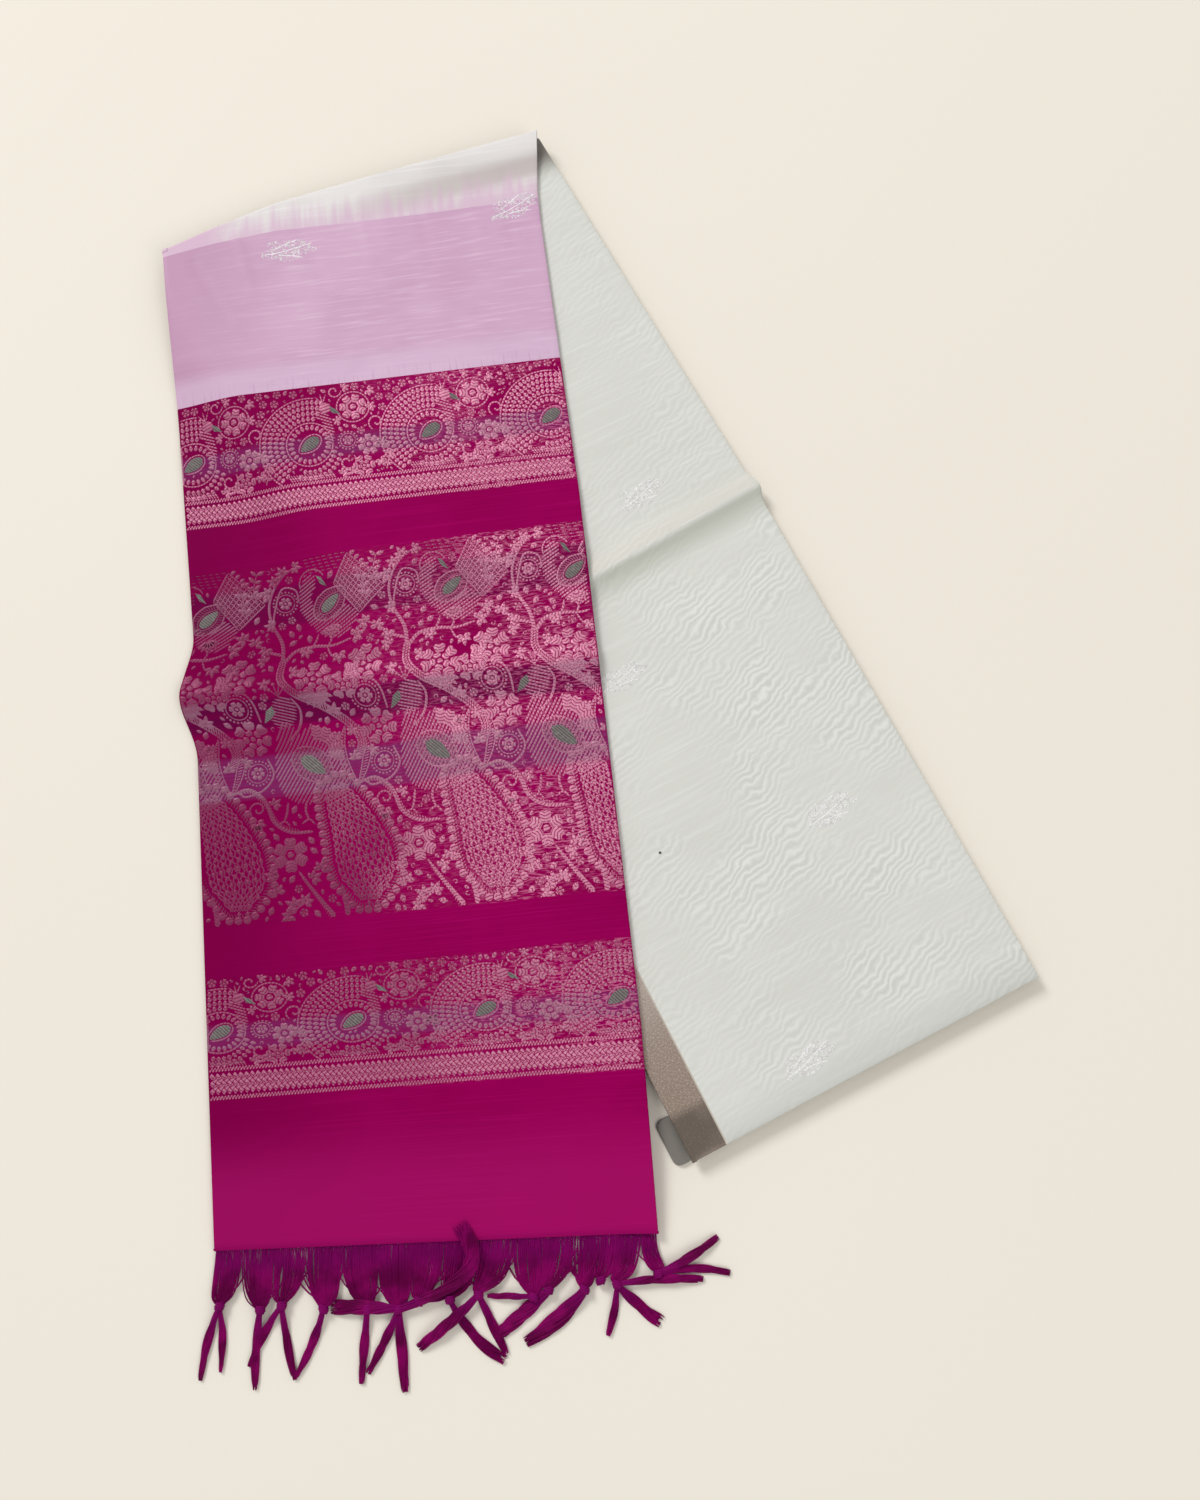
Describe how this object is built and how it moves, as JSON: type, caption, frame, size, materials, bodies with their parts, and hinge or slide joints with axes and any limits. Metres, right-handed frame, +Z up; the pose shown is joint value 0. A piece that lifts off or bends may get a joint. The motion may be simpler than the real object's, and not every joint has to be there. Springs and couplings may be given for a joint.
{
  "type": "saree",
  "caption": "Silk-cotton saree folded lengthways and then over itself, with a brocade pallu and knotted fringe on top.",
  "frame": {"origin": "on the table under the middle of the whole folded saree, fringe included", "axes": "+Z up from the table, +Y towards the top fold, +X across the pallu towards the body leg"},
  "size_m": [0.626, 0.9032, 0.0181],
  "materials": {
    "mint_body": "pale mint-grey silk-cotton, watered look, soft sheen",
    "zari_border": "dull gold metallic thread woven in a plain border",
    "body_layers": "folded silk-cotton layers",
    "cream": "cream silk-cotton",
    "lilac": "lilac silk-cotton, slubby",
    "magenta": "magenta silk, soft sheen",
    "brocade": "magenta ground with copper-pink metallic brocade",
    "pallu_layers": "folded silk layers",
    "fringe": "knotted silk warp threads"
  },
  "bodies": {
    "root": {"body_under_layers": "body_layers", "body_upper_stretch": "mint_body", "body_lower_stretch": "mint_body", "zari_border_upper": "zari_border", "zari_border_lower": "zari_border", "under_flap": "body_layers", "pallu_under_layers": "pallu_layers", "cream_stretch": "cream", "lilac_stretch": "lilac", "pallu_band_upper": "brocade", "pallu_plain_upper": "magenta", "pallu_band_wide": "brocade", "pallu_plain_lower": "magenta", "pallu_band_lower": "brocade", "pallu_plain_end": "magenta", "pallu_fringe": "fringe"}
  },
  "joints": []
}
